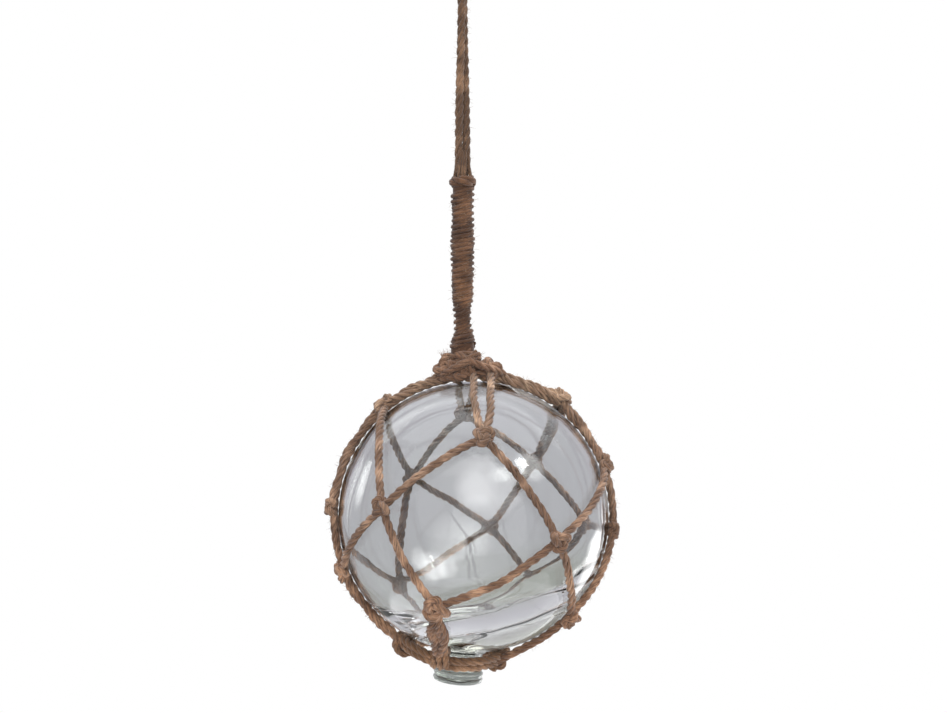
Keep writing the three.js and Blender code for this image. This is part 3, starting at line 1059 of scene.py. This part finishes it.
# Each lobe: where it is, the way it faces, its size, its rise, and how far it is turned.
CROWN_LOBES = [
    ((-10.2, -2.2, 56.2), (-0.4, -1.0, 0.4), 1.2, 1.3, 0.4),
    ((6.6, -2.8, 54.8), (0.5, -1.0, 0.3), 1.15, 1.2, 1.9),
    ((-3.0, -5.8, 54.4), (0.0, -1.0, 0.1), 1.15, 1.0, 0.9),
]
LOBE_TWINE = CROWN_TWINE * 0.93
LOBE_STRETCH = 1.12
for offset, out, size, rise, spin in CROWN_LOBES:
    line = trefoil(BALL + Vector(offset) * MM, Vector(out), size * MM, rise * MM, spin, LOBE_STRETCH)
    add_yarns(crown_curve, line, LOBE_TWINE, 8 * MM, closed=True, step=0.6 * MM)
crown = mesh_piece("crown_twine", crown_curve, CROWN_JUTE, 0.14 * MM)
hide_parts("crown_knot")

# %% [markdown]
# ## Serving
#
# The hanger's grip is twine wound tight round the legs of the cord. It is a long helix whose radius swells and
# shrinks with what is under it. A plain core fills the middle, so that no light comes through.

# %% Serving
SERVING_TWINE = 2.7 * MM
SERVING_TURNS = 25
SERVING_STEPS = 24                # in each turn
SERVING_LOW, SERVING_HIGH = 62.9, 120.6       # the first and last turns' heights above the ball's middle, in mm
SERVING_LEAN = 1.0 * MM
# The serving's outer radius at heights above the ball's middle: height, radius.
WAIST = [
    (62.3, 5.2), (66, 4.7), (69, 3.4), (76, 3.4), (81, 4.2), (92, 4.4), (103, 4.7), (111, 4.2), (121.7, 4.5),
]


def serving_radius(level):
    """The serving's outer radius at a height above the ball's middle, both in mm."""
    for (z0, r0), (z1, r1) in zip(WAIST, WAIST[1:]):
        if level <= z1:
            return r0 + (r1 - r0) * max(0.0, (level - z0) / (z1 - z0))
    return WAIST[-1][1]


serving_line = []
for i in range(SERVING_TURNS * SERVING_STEPS + 1):
    share = i / (SERVING_TURNS * SERVING_STEPS)
    level = SERVING_LOW + (SERVING_HIGH - SERVING_LOW) * share
    a = 2 * math.pi * i / SERVING_STEPS
    sway = 0.25 * MM * noise.noise(Vector((a / 5, 3, 1)))
    reach = (serving_radius(level) * MM) - SERVING_TWINE / 2 + sway
    height = level * MM
    lean = SERVING_LEAN * math.cos(a)
    serving_line.append(Vector((hanger_x + reach * math.cos(a), reach * math.sin(a), BALL.z + height + lean)))
serving_curve = twine_curve("serving_twine", SERVING_TWINE)
add_yarns(serving_curve, serving_line, SERVING_TWINE, 17 * MM, step=0.6 * MM)
serving = mesh_piece("serving_twine", serving_curve, SERVING_JUTE, 0.15 * MM)
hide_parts("whipping")

# %% Collar at the top of the serving
COLLAR_TWINE = 3.1 * MM
COLLAR_RADIUS = 3.3
COLLAR_LOW, COLLAR_RISE = 122.6, 2.2          # its foot above the ball's middle, and its height, in mm
COLLAR_STEPS = 2 * STEPS_PER_TURN
collar_line = []
for i in range(COLLAR_STEPS + 1):
    a = 2 * math.pi * i / STEPS_PER_TURN
    level = COLLAR_LOW + COLLAR_RISE * i / COLLAR_STEPS
    reach = (COLLAR_RADIUS + 0.2 * math.sin(i)) * MM
    collar_line.append(Vector((hanger_x + reach * math.cos(a), reach * math.sin(a), BALL.z + level * MM)))
collar_curve = twine_curve("serving_collar", COLLAR_TWINE)
add_yarns(collar_curve, collar_line, COLLAR_TWINE, 14 * MM)
collar = mesh_piece("serving_collar", collar_curve, SERVING_JUTE, 0.15 * MM)
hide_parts("whipping_collar")

# %% [markdown]
# Just above the collar the cord's yarns open out before they go under it. Each is a short thin line that spreads
# from the cord to the collar's rim.

# %% Frayed yarns above the collar
FRAY_YARNS = 16
FRAY_FROM = 126.0                 # their height above the ball's middle, in mm
fray_curve = new_curve("cord_fray", 0.55 * MM, 1, True)
for i in range(FRAY_YARNS):
    a = 2 * math.pi * i / FRAY_YARNS + 0.2
    inside = 0.4 if i % 2 else 1.0
    foot = Vector((3.3 * inside * math.cos(a), 2.6 * math.sin(a), FRAY_FROM - 1.5))
    knee = Vector((2.6 * inside * math.cos(a + 0.15), 2.0 * math.sin(a + 0.15), FRAY_FROM + 3.4))
    head = Vector((2.0 * inside * math.cos(a + 0.4), 1.5 * math.sin(a + 0.4), FRAY_FROM + 9.5))
    line = smooth_line([Vector((hanger_x, 0, BALL.z)) + p * MM for p in (foot, knee, head)], 5)
    spline = fray_curve.splines.new("POLY")
    spline.points.add(len(line) - 1)
    for point, place in zip(spline.points, line):
        point.co = (*place, 1)
    spline.points[-1].radius = 0.5
mesh_piece("cord_fray", fray_curve, CORD_JUTE, 0.1 * MM)

# %% Core of the hanger
CORE_LOW, CORE_HIGH = 55, 125     # heights above the ball's middle, in mm
CORE_SUNK = 0.85                  # how far it stays inside the serving
CORE_LEAST = 1.8
core_profile = [(0, CORE_LOW)]
for level in range(CORE_LOW, CORE_HIGH + 1, 2):
    core_profile.append((max(CORE_LEAST, serving_radius(level) - CORE_SUNK), level))
core_profile.append((0, CORE_HIGH + 0.5))
core_shape = spun(core_profile, 24)
bmesh.ops.translate(core_shape, verts=core_shape.verts, vec=(hanger_x, 0, BALL.z))
core_mesh = bpy.data.meshes.new("hanger_core")
core_shape.to_mesh(core_mesh)
core_shape.free()
core_mesh.shade_smooth()
core_mesh.materials.append(SERVING_JUTE)
core = add_object("hanger_core", core_mesh)
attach(core, "root")

# %% [markdown]
# ## Loose fibres
#
# Nothing says jute like its fuzz. Short fibres spring out of the strands and curl. Each is a thin bevelled curve
# of four points, placed at random along the lines that the twine was laid on, from a fixed seed.


# %% Fuzz
FIBRE_POINTS = 4
FIBRE_RADIUS = 0.055 * MM
FIBRE_CURL = 0.38


def add_fibre(curve, root, out, length, chance):
    """One curling fibre that springs from `root` in the direction `out`."""
    spline = curve.splines.new("POLY")
    spline.points.add(FIBRE_POINTS - 1)
    swing = Vector((chance.gauss(0, 1), chance.gauss(0, 1), chance.gauss(0, 1))) * FIBRE_CURL
    heading = out.normalized()
    place = root.copy()
    for i in range(FIBRE_POINTS):
        spline.points[i].co = (*place, 1)
        spline.points[i].radius = 1 - i / FIBRE_POINTS
        heading = (heading + swing).normalized()
        place += heading * length / (FIBRE_POINTS - 1)


def fuzz(name, lines, thickness, per_mm, longest, seed, keep_off_glass=False):
    """Fibres along lines of twine. Those that would enter the glass can be turned outwards."""
    chance = random.Random(seed)
    curve = new_curve(name, FIBRE_RADIUS)
    for line in lines:
        for _ in range(round(length_of(line) / MM * per_mm)):
            i = chance.randrange(len(line) - 1)
            here = line[i].lerp(line[i + 1], chance.random())
            along = (line[i + 1] - line[i]).normalized()
            side = Quaternion(along, chance.uniform(0, 2 * math.pi)) @ along.orthogonal().normalized()
            away = (here - BALL).normalized()
            if keep_off_glass and side.dot(away) < -0.1:
                side = side - 2 * side.dot(away) * away
            lean = (side + along * chance.gauss(0, 0.9)).normalized()
            add_fibre(curve, here + side * thickness * 0.42, lean, chance.uniform(0.4, 1.0) * longest, chance)
    mesh_piece(name, curve, FIBRE_JUTE)


fuzz("net_fuzz", run_lines, TWINE_SEEN, 1.7, 2.2 * MM, 31, keep_off_glass=True)
fuzz("crown_fuzz", [crown_turns, *crossing_lines], CROWN_TWINE, 2.2, 2.6 * MM, 34)
fuzz("serving_fuzz", [serving_line], SERVING_TWINE, 1.5, 2.6 * MM, 32)
fuzz("cord_fuzz", [cord_line], CORD_THICKNESS, 2.4, 2.4 * MM, 33)

# %% Frayed end on the crown's left lobe
TUFT_FIBRES = 46
TUFT_FOOT = 59.0                  # above the ball's middle, in mm
tuft_chance = random.Random(8)
tuft_curve = new_curve("crown_tuft", 0.09 * MM)
for _ in range(TUFT_FIBRES):
    root = BALL + Vector((tuft_chance.uniform(-11.5, -8.5), tuft_chance.uniform(-3.5, -0.5), TUFT_FOOT)) * MM
    out = Vector((tuft_chance.gauss(-0.25, 0.3), tuft_chance.gauss(0, 0.3), 1))
    add_fibre(tuft_curve, root, out, tuft_chance.uniform(2.0, 4.2) * MM, tuft_chance)
mesh_piece("crown_tuft", tuft_curve, CROWN_JUTE)

# %% [markdown]
# ## Measure and finish

# %% Write the sizes
visual_box = [list(corner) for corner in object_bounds()]
grown = [round((visual_box[i][j] - cad_box[i][j]) / MM, 1) for i in (0, 1) for j in range(3)]
print("visual box minus frame box, mm:", grown)
